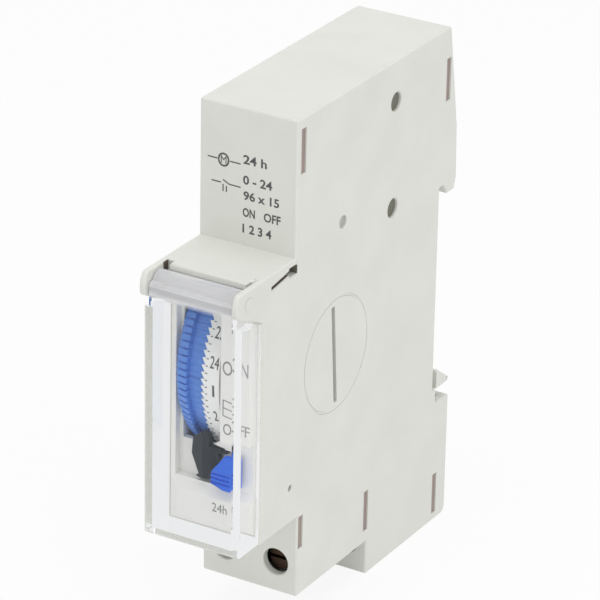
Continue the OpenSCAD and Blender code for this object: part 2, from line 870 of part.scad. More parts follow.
module winding() {
    color(c_copper)
    translate([core_x, core_y, c_z - coil_room + flange_t])
        difference() {
            cylinder(h = 2 * (coil_room - flange_t), r = wind_r);
            translate([0, 0, -1])
                cylinder(h = 2 * coil_room, r = tube_r);
        }
}

// Circuit board on the back wall; everything on it stands on its front face
board_y1 = -wall;
board_y0 = board_y1 - 1.2;
board_half = in_w - 0.85;
board_low = -10;
board_top = top_z - wall - 1.2;
bat_r = in_w - 1.85;
bat_y = board_y0 - bat_r - 1.4;
bat_low = -4;
bat_top = 12;
tab_t = 0.3;
tab_half = 1.5;
chip_z = 28;
chip_len = 7;
chip_t = 1.6;
crystal_r = 1;
crystal_len = 6;
cap_half = in_w - 2.35;
cap_t = 7.4;
cap_low = bat_top + 1.5;
cap_len = 10;
res_r = 0.9;
res_half = 3;
res_step = 2.4;

module circuit_board() {
    color(c_green)
        block(-board_half, board_half, board_y0, board_y1, board_low, board_top);
}

module clock_chip() {
    color(c_black)
        block(-4, 2, board_y0 - chip_t, board_y0, chip_z, chip_z + chip_len);
}

module crystal() {
    color(c_steel)
    translate([4.5, board_y0 - crystal_r, chip_z - 1])
        cylinder(h = crystal_len, r = crystal_r);
}

module capacitor() {
    color(c_dark)
        block(-cap_half, cap_half, board_y0 - cap_t, board_y0, cap_low, cap_low + cap_len);
}

module resistors() {
    color(c_brass)
    for (i = [0:2])
        rod_x(-res_half, res_half, board_y0 - res_r, board_top - 1.4 - res_step * i, res_r);
}

module battery() {
    color(c_steel)
    translate([0, bat_y, bat_low])
        cylinder(h = bat_top - bat_low, r = bat_r);
}

module battery_tabs() {
    color(c_steel) {
        block(-tab_half, tab_half, bat_y - tab_half, board_y0, bat_top, bat_top + tab_t);
        block(-tab_half, tab_half, bat_y - tab_half, board_y0, bat_low - tab_t, bat_low);
    }
}

// Follower: a ridged vane in front of the dial, a finger, an arm through the panel and a tail
vane_top = dial_z - dial_r / 2;
vane_low = win_z0 + 0.8;
vane_front = panel_y - 0.8;
vane_edge = panel_y + 0.1;
vane_back = panel_back - 0.5;
vane_x0 = -3.2;
ridge_x = -0.7;
finger_x1 = wide_x - 1.0;
finger_z1 = wide_z - 0.3;
finger_z0 = finger_z1 - 0.6;
arm_x0 = -1.3;
arm_x1 = 0.5;
arm_low = vane_low + 1.0;
arm_top = vane_low + 3.0;
fol_hub = 1.5;
fol_hub_x0 = -5.0;
fol_hub_x1 = 3.0;
tail_end = -26.6;

module vane() {
    intersection() {
        along_y(vane_front, vane_back)
            polygon([[vane_x0 + 0.3, vane_top - 1.6], [vane_x0, vane_top - 4.4], [vane_x0 + 1.7, vane_low + 0.5],
                [vane_x0 + 0.9, vane_low], [0.2, vane_low], [0.9, vane_low + 1.7], [2.0, finger_z0 - 0.9],
                [1.4, finger_z0 - 0.3], [finger_x1 - 0.2, finger_z0], [finger_x1, finger_z1 - 0.2],
                [1.1, finger_z1], [0.2, finger_z1 + 0.2], [0.2, vane_top], [-0.6, vane_top + 0.3]]);
        translate([0, 0, vane_low - 1])
            linear_extrude(vane_top - vane_low + 2)
                polygon([[vane_x0 - 1, vane_back], [vane_x0 - 1, vane_edge + 0.3], [ridge_x, vane_front],
                    [1.0, vane_edge + 0.1], [finger_x1 + 1, vane_edge + 0.3], [finger_x1 + 1, vane_back]]);
    }
}

module follower_lever() {
    color(c_dark)
    difference() {
        union() {
            vane();
            along_x(arm_x0, arm_x1)
                polygon([[vane_back - play, arm_low], [vane_back - play, arm_top], [fol_y + 0.8, fol_z + 1.2],
                    [fol_y - 1.2, fol_z + 0.4]]);
            rod_x(fol_hub_x0, fol_hub_x1, fol_y, fol_z, fol_hub);
            block(-tail_half, tail_half, fol_y, tail_end, tail_z0, tail_z1);
        }
        rod_x(vane_x0 - 1, finger_x1 + 1, dial_y, dial_z, dial_r + play);
        rod_x(fol_hub_x0 - 1, fol_hub_x1 + 1, fol_y, fol_z, fol_pin_r + run_play);
    }
}

module follower_pin() {
    color(c_steel)
        rod_x(-in_w - 0.8, half_w - 0.4, fol_y, fol_z, fol_pin_r);
}

// Manual selector: head in front, stem through the wide corner, foot behind the panel
sel_travel = 2.0;
sel_x0 = wide_x - 2.8;
sel_x1 = wide_x + 0.8;
sel_back = panel_y - 0.45;
sel_front = sel_back - 1.7;
sel_low = win_z0 + 0.5;
sel_top = sel_low + 5.5;
strip_low = sel_top + sel_travel + play;
stem_x1 = wide_x - 0.2;
stem_x0 = stem_x1 - 0.5;
stem_top = sel_low + 2.2;
foot_y = wall_back + play;
rib_n = 3;

module manual_selector() {
    color(c_blue)
    union() {
        difference() {
            along_y(sel_front, sel_back)
                polygon([[sel_x0, sel_low + 0.8], [sel_x0 + 2.2, sel_low], [sel_x1, sel_low],
                    [sel_x1, sel_top - 0.6], [sel_x1 - 0.4, sel_top], [sel_x0 + 2, sel_top],
                    [sel_x0, sel_low + 2.6]]);
            along_x(sel_x0 - 1, sel_x1 + 1)
                polygon([[sel_front - 1, sel_top - 2.4], [sel_front, sel_top - 2.4],
                    [sel_back - 0.5, sel_top + 0.1], [sel_front - 1, sel_top + 0.1]]);
            for (i = [0:rib_n - 1])
                block(sel_x0 - 1, sel_x1 + 1, sel_front - 1, sel_front + 0.3,
                    sel_low + 0.9 + 0.75 * i, sel_low + 1.2 + 0.75 * i);
        }
        block(stem_x0, stem_x1, sel_back - join, foot_y + 0.8, sel_low, stem_top);
        block(stem_x0, wide_x + 2, foot_y, foot_y + 0.8, sel_low, stem_top);
    }
}

// Switch base, blade and fixed contact
base_y0 = -16.5;
base_y1 = -12.5;
blade_half = 1.5;
blade_y0 = -28.6;
blade_y1 = base_y0 - play;
point_y = -27.2;
point_r = 0.9;

module switch_base() {
    color(c_dark)
        block(-in_w, in_w, base_y0, base_y1, base_z0, base_z1);
}

module moving_contact() {
    color(c_brass)
    union() {
        block(-blade_half, blade_half, blade_y0, blade_y1, blade_z0, blade_z0 + blade_t);
        translate([0, point_y, blade_z0 + blade_t - 0.1])
            cylinder(h = 0.7, r = point_r);
    }
}

module fixed_contact() {
    color(c_brass)
    union() {
        block(-blade_half, blade_half, point_y - 0.7, base_y0, fixed_z0, fixed_z0 + fixed_t);
        translate([0, point_y + 0.3, fixed_z0 - 0.3])
            cylinder(h = 0.5, r = point_r);
    }
}

// Bars from the first pair of terminals to the switch
run_z1 = base_z0 - 2.2;
run_end = base_y1 - 0.7;
module switch_bars() {
    color(c_brass)
    for (t = [terms[0], terms[1]]) {
        y = t[1] + bar_at;
        union() {
            block(t[0] - bar_half, t[0] + bar_half, y, y + bar_t, t[2] - clamp_len, run_z1);
            block(t[0] - bar_half, t[0] + bar_half, y, run_end, run_z1 - bar_t, run_z1);
            block(t[0] - bar_half, t[0] + bar_half, run_end - bar_t, run_end, run_z1 - bar_t, base_z0);
        }
    }
}

// Bars from the second pair of terminals to the circuit board
module supply_bars() {
    color(c_brass)
    for (t = [terms[2], terms[3]]) {
        y = t[1] + bar_at;
        union() {
            block(t[0] - bar_half, t[0] + bar_half, y, y + bar_t, t[2] - clamp_len, board_low + 1.5);
            block(t[0] - bar_half, t[0] + bar_half, y, board_y0, board_low + 0.7, board_low + 1.5);
        }
    }
}

// Insulating plates between the two terminals of each step
plate_half = 0.6;
module barrier_plates() {
    color(c_dark)
    for (t = [terms[0], terms[2]])
        block(-plate_half, plate_half, t[1] + wall, t[1] + clamp_back + 0.3, t[3] + wall,
            t[2] + clamp_len + 3);
}

module terminal_screw(t) {
    color(c_steel)
    difference() {
        union() {
            rod_y(t[1] + head_at, t[1] + head_at + head_len, t[0], t[2], head_r);
            rod_y(t[1] + head_at, t[1] + bar_at - 0.1, t[0], t[2], shank_r);
        }
        block(t[0] - head_r - 1, t[0] + head_r + 1, t[1] + head_at - 1, t[1] + head_at + 0.8,
            t[2] - 0.3, t[2] + 0.3);
    }
}

module terminal_clamp(t) {
    color(c_brass)
    difference() {
        block(t[0] - clamp_half, t[0] + clamp_half, t[1] + clamp_at, t[1] + clamp_back,
            t[2] - clamp_len, t[2] + clamp_len);
        block(t[0] - clamp_half + clamp_side, t[0] + clamp_half - clamp_side,
            t[1] + clamp_at + clamp_front, t[1] + clamp_in, t[2] - clamp_len - 1, t[2] + clamp_len + 1);
        rod_y(t[1] + clamp_at - 1, t[1] + clamp_at + clamp_front + 0.5, t[0], t[2], shank_r + 0.1);
    }
}

// What is drawn: everything, or one piece by name
main_shell();
side_cover();
front_panel();
front_cover();
din_clip();
clip_spring();
dial_drum();
dial_wheel();
clutch_washer();
tappets_a();
tappets_b();
tappets_c();
tappets_d();
dial_axle();
movement_plate();
movement_screws();
wheel_a();
wheel_b();
wheel_pins();
rotor_magnet();
rotor_pinion();
rotor_pin();
stator();
bobbin();
winding();
circuit_board();
clock_chip();
crystal();
capacitor();
resistors();
battery();
battery_tabs();
follower_lever();
follower_pin();
manual_selector();
switch_base();
moving_contact();
fixed_contact();
switch_bars();
supply_bars();
barrier_plates();
terminal_screw(terms[0]);  // terminal_screw_1
terminal_screw(terms[1]);  // terminal_screw_2
terminal_screw(terms[2]);  // terminal_screw_3
terminal_screw(terms[3]);  // terminal_screw_4
terminal_clamp(terms[0]);  // terminal_clamp_1
terminal_clamp(terms[1]);  // terminal_clamp_2
terminal_clamp(terms[2]);  // terminal_clamp_3
terminal_clamp(terms[3]);  // terminal_clamp_4
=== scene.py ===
import json
import math

import bmesh
import bpy
from mathutils import Matrix, Vector
from mathutils.bvhtree import BVHTree


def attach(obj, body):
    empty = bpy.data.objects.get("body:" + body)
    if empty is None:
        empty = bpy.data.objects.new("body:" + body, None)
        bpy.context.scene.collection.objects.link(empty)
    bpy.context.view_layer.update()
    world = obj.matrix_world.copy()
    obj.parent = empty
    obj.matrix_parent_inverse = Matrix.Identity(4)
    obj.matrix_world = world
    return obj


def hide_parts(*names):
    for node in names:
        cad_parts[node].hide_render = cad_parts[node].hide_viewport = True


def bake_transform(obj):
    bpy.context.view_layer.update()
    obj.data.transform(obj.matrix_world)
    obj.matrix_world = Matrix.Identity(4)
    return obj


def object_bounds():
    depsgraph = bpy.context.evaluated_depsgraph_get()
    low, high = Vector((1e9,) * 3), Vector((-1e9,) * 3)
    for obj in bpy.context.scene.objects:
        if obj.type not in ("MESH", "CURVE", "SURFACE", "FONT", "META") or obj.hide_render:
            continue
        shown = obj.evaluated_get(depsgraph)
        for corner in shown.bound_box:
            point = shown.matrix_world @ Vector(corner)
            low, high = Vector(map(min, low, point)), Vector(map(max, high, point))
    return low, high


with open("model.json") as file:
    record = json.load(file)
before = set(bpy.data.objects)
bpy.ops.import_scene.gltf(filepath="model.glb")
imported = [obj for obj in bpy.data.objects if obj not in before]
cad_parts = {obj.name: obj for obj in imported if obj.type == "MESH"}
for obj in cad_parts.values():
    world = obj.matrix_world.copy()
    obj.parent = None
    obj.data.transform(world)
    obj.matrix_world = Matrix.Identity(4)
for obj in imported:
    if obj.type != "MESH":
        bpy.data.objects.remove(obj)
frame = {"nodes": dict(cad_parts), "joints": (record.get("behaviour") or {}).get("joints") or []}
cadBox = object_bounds()
nodes = frame["nodes"]
mm = 0.001
mergeGap = 0.001 * mm  # points closer than this are one point
sameSpot = 0.01  # places this close in mm count as the same
white = (1, 1, 1, 1)
print("frame loaded:", len(nodes), "nodes")


def axisOf(joint):  # Y and Z in mm of a joint that turns about X
    place = next(j["pos_m"] for j in frame["joints"] if j["name"] == joint)
    return place[1] / mm, place[2] / mm


def meshObject(name, bm):  # turns a finished bmesh into an object at the origin
    mesh = bpy.data.meshes.new(name)
    bm.to_mesh(mesh)
    bm.free()
    obj = bpy.data.objects.new(name, mesh)
    bpy.context.scene.collection.objects.link(obj)
    return obj


# camera solved from the housing edges: place in mm, the rest are unit directions
viewpoint = {
    "place": (298.42, -535.23, 279.74),
    "right": (0.857001, 0.515004, 0.017893),
    "down": (0.230629, -0.352268, -0.907038),
    "ahead": (-0.460825, 0.781459, -0.420669),
    "focalPixels": 4074.58,
    "framePixels": 600,
    "sensor": 36.0,
}


def makeCamera(cfg):
    data = bpy.data.cameras.new("photoCamera")
    data.sensor_fit = "HORIZONTAL"
    data.sensor_width = cfg["sensor"]
    data.lens = cfg["sensor"] * cfg["focalPixels"] / cfg["framePixels"]
    data.dof.use_dof = False
    cam = bpy.data.objects.new("photoCamera", data)
    bpy.context.scene.collection.objects.link(cam)
    right, down, ahead = (Vector(cfg[k]).normalized() for k in ("right", "down", "ahead"))
    turn = Matrix((right, -down, -ahead)).transposed().to_4x4()
    cam.matrix_world = Matrix.Translation(Vector(cfg["place"]) * mm) @ turn
    bpy.context.scene.camera = cam


def mathNode(tree, operation, first, second):  # each value is a socket or a plain number
    node = tree.nodes.new("ShaderNodeMath")
    node.operation = operation
    for socket, value in zip(node.inputs, (first, second)):
        if isinstance(value, float):
            socket.default_value = value
        else:
            tree.links.new(value, socket)
    return node.outputs[0]


def mixShaders(tree, share, first, second):
    node = tree.nodes.new("ShaderNodeMixShader")
    for socket, value in zip(node.inputs, (share, first, second)):
        tree.links.new(value, socket)
    return node.outputs[0]


def plainShader(tree, kind, colour):
    node = tree.nodes.new(kind)
    node.inputs["Color"].default_value = colour
    return node


def seenShare(tree):  # 1 for rays that look straight at it, in a mirror or through glass
    path = tree.nodes.new("ShaderNodeLightPath").outputs
    direct = mathNode(tree, "MAXIMUM", path["Is Camera Ray"], path["Is Glossy Ray"])
    return mathNode(tree, "MAXIMUM", direct, path["Is Transmission Ray"])


studio = {
    "roomLight": 0.60,  # strength of the room for everything but direct sight
    "lamps": {
        "topSoftbox": {"place": (0.05, -0.15, 0.95), "size": 0.9, "power": 3.8},
        "sideSoftbox": {"place": (0.95, -0.25, 0.30), "size": 0.8, "power": 2.0},
        "frontSoftbox": {"place": (-0.25, -0.95, 0.25), "size": 0.7, "power": 0.6},
    },
    "aim": (0.0, -0.025, 0.0),
    "floorSize": 6.0,
    "floorDrop": 0.02,  # mm under the lowest point of the part
    "floorColour": (0.92, 0.92, 0.92, 1),
    "floorWhite": 0.88,  # share of plain white over the lit floor, the rest shows the shadow
}


def whiteRoom(cfg):
    world = bpy.data.worlds.new("whiteRoom")
    bpy.context.scene.world = world
    world.use_nodes = True
    tree = world.node_tree
    tree.nodes.clear()
    lit = plainShader(tree, "ShaderNodeBackground", white)
    lit.inputs["Strength"].default_value = cfg["roomLight"]
    seen = plainShader(tree, "ShaderNodeBackground", white)
    out = tree.nodes.new("ShaderNodeOutputWorld")
    tree.links.new(mixShaders(tree, seenShare(tree), lit.outputs[0], seen.outputs[0]), out.inputs["Surface"])


def softboxes(cfg):
    for name, lamp in cfg["lamps"].items():
        data = bpy.data.lights.new(name, "AREA")
        data.shape = "SQUARE"
        data.size = lamp["size"]
        data.energy = lamp["power"]
        obj = bpy.data.objects.new(name, data)
        bpy.context.scene.collection.objects.link(obj)
        away = Vector(lamp["place"]) - Vector(cfg["aim"])
        turn = away.to_track_quat("Z", "Y").to_matrix().to_4x4()
        obj.matrix_world = Matrix.Translation(lamp["place"]) @ turn


def paleFloor(cfg):
    bm = bmesh.new()
    bmesh.ops.create_grid(bm, x_segments=1, y_segments=1, size=cfg["floorSize"] / 2)
    bmesh.ops.translate(bm, vec=(0, 0, cadBox[0][2] - cfg["floorDrop"] * mm), verts=bm.verts)
    floor = meshObject("paleFloor", bm)
    mat = bpy.data.materials.new("paleFloor")
    mat.use_nodes = True
    tree = mat.node_tree
    tree.nodes.clear()
    plain = plainShader(tree, "ShaderNodeBsdfDiffuse", cfg["floorColour"])
    glow = plainShader(tree, "ShaderNodeEmission", white)
    share = mathNode(tree, "MULTIPLY", seenShare(tree), cfg["floorWhite"])
    out = tree.nodes.new("ShaderNodeOutputMaterial")
    tree.links.new(mixShaders(tree, share, plain.outputs[0], glow.outputs[0]), out.inputs["Surface"])
    floor.data.materials.append(mat)


makeCamera(viewpoint)
bpy.context.scene.view_settings.view_transform = "Standard"
whiteRoom(studio)
softboxes(studio)
paleFloor(studio)
print("camera and studio set")

# finishes: screen colour, grain of the fine texture in mm, strength of its bump, drift of the colour
finishes = {
    "shellGrey": {"colour": (225, 226, 219), "rough": 0.46, "grain": 0.16, "bump": 0.10, "drift": 0.025},
    "panelWhite": {"colour": (240, 240, 237), "rough": 0.42, "grain": 0.20, "bump": 0.06, "drift": 0.02},
    "dialWhite": {"colour": (243, 244, 243), "rough": 0.38, "grain": 0.22, "bump": 0.05, "drift": 0.02},
    "tappetBlue": {"colour": (88, 139, 222), "rough": 0.30, "grain": 0.25, "bump": 0.06, "drift": 0.06,
                   "shine": 0.4},
    "selectorBlue": {"colour": (46, 108, 228), "rough": 0.32, "grain": 0.25, "bump": 0.06, "drift": 0.05,
                     "shine": 0.25},
    "followerSlate": {"colour": (40, 48, 55), "rough": 0.45, "grain": 0.20, "bump": 0.10, "drift": 0.08,
                      "shine": 0.2},
    "mouldedBlack": {"colour": (38, 38, 40), "rough": 0.45, "grain": 0.20, "bump": 0.10, "drift": 0.08},
    "printInk": {"colour": (84, 86, 86), "rough": 0.55, "grain": 0.10, "bump": 0.10, "drift": 0.10},
    "paleInk": {"colour": (138, 140, 140), "rough": 0.55, "grain": 0.10, "bump": 0.10, "drift": 0.10},
    # painted shade: dark olive for discs and plates that stand for the shade deep in holes and the notch
    "holeOlive": {"colour": (112, 111, 99), "rough": 0.60, "grain": 0.16, "bump": 0.10, "drift": 0.10},
    # painted shade: brown-grey that stands for the shade deep in the snap slots
    "snapBrown": {"colour": (158, 142, 136), "rough": 0.50, "grain": 0.16, "bump": 0.10, "drift": 0.10},
    # painted shade: grey disc that stands for the shade in the shallow gate mark
    "gateGrey": {"colour": (180, 180, 174), "rough": 0.50, "grain": 0.16, "bump": 0.12, "drift": 0.08},
    # painted shade: dark brown-grey for plates set where only shade is seen
    "cornerDark": {"colour": (92, 80, 74), "rough": 0.60, "grain": 0.16, "bump": 0.10, "drift": 0.10},
    "boardGreen": {"colour": (36, 96, 62), "rough": 0.40, "grain": 0.35, "bump": 0.12, "drift": 0.12},
}
metals = {
    # painted shade: dark brown steel on the terminal screws that stands for the shade deep in their holes
    "paintedShadeScrew": {"colour": (72, 58, 48), "rough": 0.42, "streak": 0.35},
    "screwSteel": {"colour": (188, 184, 172), "rough": 0.34, "streak": 0.30},
    "clampBrass": {"colour": (200, 170, 110), "rough": 0.32, "streak": 0.25},
    "wireCopper": {"colour": (190, 112, 70), "rough": 0.36, "streak": 0.20},
}
# what all plastics and all metals share, sizes and depths in mm
plasticGrain = {
    "cloudSize": 9.0, "cloudDetail": 4.0, "patchSize": 2.2, "patchDetail": 5.0, "fineDetail": 3.0,
    "smoother": 0.05, "rougher": 0.06, "bumpDepth": 0.05, "shine": 0.5,
}
metalGrain = {
    "stainSize": 1.6, "stainDetail": 4.0, "stainShade": 0.78, "lineSize": 0.12, "lineDetail": 2.0,
    "lineStretch": (1.0, 0.08, 1.0), "smoother": 0.08, "rougher": 0.10, "bumpDepth": 0.02,
}
noiseSpan = (0.3, 0.7)  # noise sits mostly between these


def linear(channel):  # one channel of a screen colour, 0 to 255, as the share that shaders take
    share = channel / 255.0
    return share / 12.92 if share <= 0.04045 else ((share + 0.055) / 1.055) ** 2.4


def srgb(red, green, blue):
    return (linear(red), linear(green), linear(blue), 1.0)


def shade(colour, factor):  # the same colour, darker or paler
    return [min(1, c * factor) for c in colour[:3]] + [1]


def newMaterial(name):
    mat = bpy.data.materials.new(name)
    mat.use_nodes = True
    tree = mat.node_tree
    where = tree.nodes.new("ShaderNodeTexCoord").outputs["Object"]
    return mat, tree, tree.nodes["Principled BSDF"], where


def noise(tree, where, size, detail):  # size of the features in mm
    node = tree.nodes.new("ShaderNodeTexNoise")
    node.inputs["Scale"].default_value = 1.0 / (size * mm)
    node.inputs["Detail"].default_value = detail
    tree.links.new(where, node.inputs["Vector"])
    return node.outputs["Fac"]


def mapRange(tree, value, fromSpan, toSpan=(0.0, 1.0)):
    node = tree.nodes.new("ShaderNodeMapRange")
    for key, span in (("From", fromSpan), ("To", toSpan)):
        node.inputs[key + " Min"].default_value = span[0]
        node.inputs[key + " Max"].default_value = span[1]
    tree.links.new(value, node.inputs["Value"])
    return node.outputs["Result"]


def mixColours(tree, shader, share, first, second):
    node = tree.nodes.new("ShaderNodeMix")
    node.data_type = "RGBA"
    node.inputs["A"].default_value = first
    node.inputs["B"].default_value = second
    tree.links.new(share, node.inputs["Factor"])
    tree.links.new(node.outputs["Result"], shader.inputs["Base Color"])


def varyRough(tree, shader, value, rough, grain):
    span = (rough - grain["smoother"], rough + grain["rougher"])
    tree.links.new(mapRange(tree, value, noiseSpan, span), shader.inputs["Roughness"])


def addBump(tree, shader, height, strength, depth):
    node = tree.nodes.new("ShaderNodeBump")
    node.inputs["Strength"].default_value = strength
    node.inputs["Distance"].default_value = depth * mm
    tree.links.new(height, node.inputs["Height"])
    tree.links.new(node.outputs["Normal"], shader.inputs["Normal"])


def mouldedPlastic(name, cfg, grain):
    mat, tree, shader, where = newMaterial(name)
    base = srgb(*cfg["colour"])
    cloud = mapRange(tree, noise(tree, where, grain["cloudSize"], grain["cloudDetail"]), noiseSpan)
    mixColours(tree, shader, cloud, shade(base, 1 - cfg["drift"]), shade(base, 1 + cfg["drift"]))
    shader.inputs["Specular IOR Level"].default_value = cfg.get("shine", grain["shine"])
    patches = noise(tree, where, grain["patchSize"], grain["patchDetail"])
    varyRough(tree, shader, patches, cfg["rough"], grain)
    fine = noise(tree, where, cfg["grain"], grain["fineDetail"])
    addBump(tree, shader, fine, cfg["bump"], grain["bumpDepth"])
    return mat


def workedMetal(name, cfg, grain):
    mat, tree, shader, where = newMaterial(name)
    base = srgb(*cfg["colour"])
    stains = mapRange(tree, noise(tree, where, grain["stainSize"], grain["stainDetail"]), noiseSpan)
    mixColours(tree, shader, stains, shade(base, grain["stainShade"]), base)
    shader.inputs["Metallic"].default_value = 1.0
    stretch = tree.nodes.new("ShaderNodeMapping")
    stretch.inputs["Scale"].default_value = grain["lineStretch"]
    tree.links.new(where, stretch.inputs["Vector"])
    lines = noise(tree, stretch.outputs["Vector"], grain["lineSize"], grain["lineDetail"])
    varyRough(tree, shader, lines, cfg["rough"], grain)
    addBump(tree, shader, lines, cfg["streak"], grain["bumpDepth"])
    return mat


clearCover = {
    "ior": 1.52, "shine": (0.3, 0.3, 0.3, 1), "rough": 0.015, "tint": (0.994, 0.996, 0.997, 1),
    "wave": 0.02, "waveSize": 14.0, "waveDetail": 1.0, "waveDepth": 1.0,  # slow flow waves of a moulding
    "passed": (0.98, 0.98, 0.98, 1),
    "deepest": 2.5, "paintedGlowColour": (0.83, 0.84, 0.85, 1),  # painted light: rays led on inside the walls end in a pale glow that stands for the pale room
    "milkyFrom": 18.2, "milkyFull": 19.0, "milky": 0.62, "barTop": 22.2,  # hazy hinge bar, heights in mm
    # grey bands up the hinge bar: painted highlight lines and painted shade between them
    "paintedLightBands": [(0.15, 236), (0.36, 214), (0.50, 208), (0.58, 246), (0.66, 226), (1.0, 222)],
    "milkBlue": 2,  # added to the blue of each band
}


def hazyBar(tree, where, cfg):  # share and shader of the thick hinge bar: milky haze in grey bands from its foot to its top, the bands being painted highlight lines and painted shade
    split = tree.nodes.new("ShaderNodeSeparateXYZ")
    tree.links.new(where, split.inputs[0])
    height = split.outputs["Z"]
    foot, full, top = (cfg[k] * mm for k in ("milkyFrom", "milkyFull", "barTop"))
    bands = tree.nodes.new("ShaderNodeValToRGB")
    stops = bands.color_ramp.elements
    while len(stops) < len(cfg["paintedLightBands"]):
        stops.new(0.5)  # its place is set below
    for stop, (at, grey) in zip(stops, cfg["paintedLightBands"]):
        stop.position = at
        stop.color = srgb(grey, grey, grey + cfg["milkBlue"])
    tree.links.new(mapRange(tree, height, (foot, top)), bands.inputs["Fac"])
    # diffuse haze coloured by the bands of painted highlight and shade
    hazeAndSheen = tree.nodes.new("ShaderNodeBsdfDiffuse")
    tree.links.new(bands.outputs["Color"], hazeAndSheen.inputs["Color"])
    return mapRange(tree, height, (foot, full), (0.0, cfg["milky"])), hazeAndSheen.outputs[0]


def clearPlastic(name, cfg):
    mat, tree, shader, where = newMaterial(name)
    mat.cycles.emission_sampling = "NONE"
    shader.inputs["Base Color"].default_value = cfg["tint"]
    shader.inputs["Roughness"].default_value = cfg["rough"]
    shader.inputs["IOR"].default_value = cfg["ior"]
    shader.inputs["Specular Tint"].default_value = cfg["shine"]
    shader.inputs["Transmission Weight"].default_value = 1.0
    waves = noise(tree, where, cfg["waveSize"], cfg["waveDetail"])
    addBump(tree, shader, waves, cfg["wave"], cfg["waveDepth"])
    path = tree.nodes.new("ShaderNodeLightPath").outputs
    deep = mathNode(tree, "GREATER_THAN", path["Ray Depth"], cfg["deepest"])
    # painted light: deep rays end in this pale glow in place of the room
    room = plainShader(tree, "ShaderNodeEmission", cfg["paintedGlowColour"])
    inner = mixShaders(tree, deep, shader.outputs[0], room.outputs[0])
    through = mathNode(tree, "MAXIMUM", path["Is Shadow Ray"], path["Is Diffuse Ray"])
    passing = plainShader(tree, "ShaderNodeBsdfTransparent", cfg["passed"])  # for lamps and bounced light
    clear = mixShaders(tree, through, inner, passing.outputs[0])
    milky, hazeAndSheen = hazyBar(tree, where, cfg)
    surface = tree.nodes["Material Output"].inputs["Surface"]
    tree.links.new(mixShaders(tree, milky, clear, hazeAndSheen), surface)
    return mat


mats = {name: mouldedPlastic(name, cfg, plasticGrain) for name, cfg in finishes.items()}
mats.update({name: workedMetal(name, cfg, metalGrain) for name, cfg in metals.items()})
mats["clearCover"] = clearPlastic("clearCover", clearCover)

slotFinish = {
    "housing": "shellGrey", "panel": "panelWhite", "clear": "clearCover", "dial_white": "dialWhite",
    "tappet_blue": "tappetBlue", "selector_blue": "selectorBlue", "slate": "followerSlate",
    "black": "mouldedBlack", "board": "boardGreen", "steel": "screwSteel", "brass": "clampBrass",
    "copper": "wireCopper",
}
for name, part in nodes.items():
    for slot in part.material_slots:
        finish = slotFinish[slot.material.name.split(".")[0]]
        # terminal screws take the dark steel with painted shade
        slot.material = mats["paintedShadeScrew" if name.startswith("terminal_screw") else finish]
print("finishes set on the nodes")


# side cover, in mm: snap slots as low and high Y, low and high Z, the ring mark with its slit, the gate mark
sideMarks = {
    "slots": [(-44.4, -43.0, 36.4, 43.9), (1.0, 2.4, 33.0, 40.4), (-43.2, -41.8, -28.8, -23.0),
              (-22.3, -20.9, -35.0, -27.7), (0.9, 2.3, -42.0, -34.6)],
    "slack": 0.05,  # edges this near to a slot or mark belong to it and stay sharp
    "ring": (-32.6, 1.5), "ringHalf": 10.0, "inRing": 9.55,
    "slitReach": 9.0, "turn": 11.4, "shift": -0.45,  # points this near the middle turn, in degrees, and move
    "gate": (-31.3, 23.8), "gateHalf": 1.2,
}
# clear cover: axis, old and new place of each wall in mm, and the radius of its upright front edges
coverWalls = {
    "moves": {"side": (0, 8.4, 8.72), "sideInner": (0, 7.2, 7.3),
              "front": (1, -61.2, -61.75), "frontInner": (1, -60.0, -60.4)},
    "radius": 1.1, "segments": 8,
    "level": 0.01, "slant": (0.05, 0.9988),  # tell the faces of that radius by their normals
}
# what all rounded edges share: angles in degrees, start of the test rays off the edge in mm
rounding = {"segments": 3, "edgeAngle": 25, "smoothAngle": 32, "lift": 0.03}
seamX = 7.35  # the joint between the two halves of the housing stays tight
# rounded copies of the moulded pieces: edge radius in mm, and how far a rounded edge must see free air
softPieces = {
    "softShell": {"node": "main_shell", "body": "housing", "slot": "housing", "width": 0.28, "reach": 9.0,
                  "seam": seamX},
    "softSideCover": {"node": "side_cover", "body": "housing", "slot": "housing", "width": 0.28, "reach": 9.0,
                      "seam": seamX, "marks": sideMarks},
    "softPanel": {"node": "front_panel", "body": "housing", "slot": "panel", "width": 0.18, "reach": 1.4},
    "softClip": {"node": "din_clip", "body": "clip", "slot": "housing", "width": 0.30, "reach": 3.0},
    "softCover": {"node": "front_cover", "body": "cover", "slot": "clear", "width": 0.22, "reach": 0.8,
                  "walls": coverWalls},
    "softFollower": {"node": "follower_lever", "body": "follower", "slot": "slate", "width": 0.12,
                     "reach": 0.3},
    "softSelector": {"node": "manual_selector", "body": "selector", "slot": "selector_blue", "width": 0.14,
                     "reach": 0.2},
}
for number, letter in enumerate("abcd", 1):
    softPieces["softTappets%d" % number] = {
        "node": "tappets_" + letter, "body": "tappets_%d" % number, "slot": "tappet_blue",
        "width": 0.10, "reach": 0.0,
    }


def wholeTree():  # every CAD face, to tell outer edges from those that face another piece
    points, faces = [], []
    for part in nodes.values():
        start = len(points)
        points.extend(v.co.copy() for v in part.data.vertices)
        faces.extend([start + i for i in p.vertices] for p in part.data.polygons)
    return BVHTree.FromPolygons(points, faces)


def seesAir(tree, edge, reach):
    one, two = (f.normal for f in edge.link_faces)
    between = (one + two).normalized()
    start = (edge.verts[0].co + edge.verts[1].co) / 2 + between * rounding["lift"] * mm
    return all(tree.ray_cast(start, way, reach)[0] is None for way in (one, two, between))


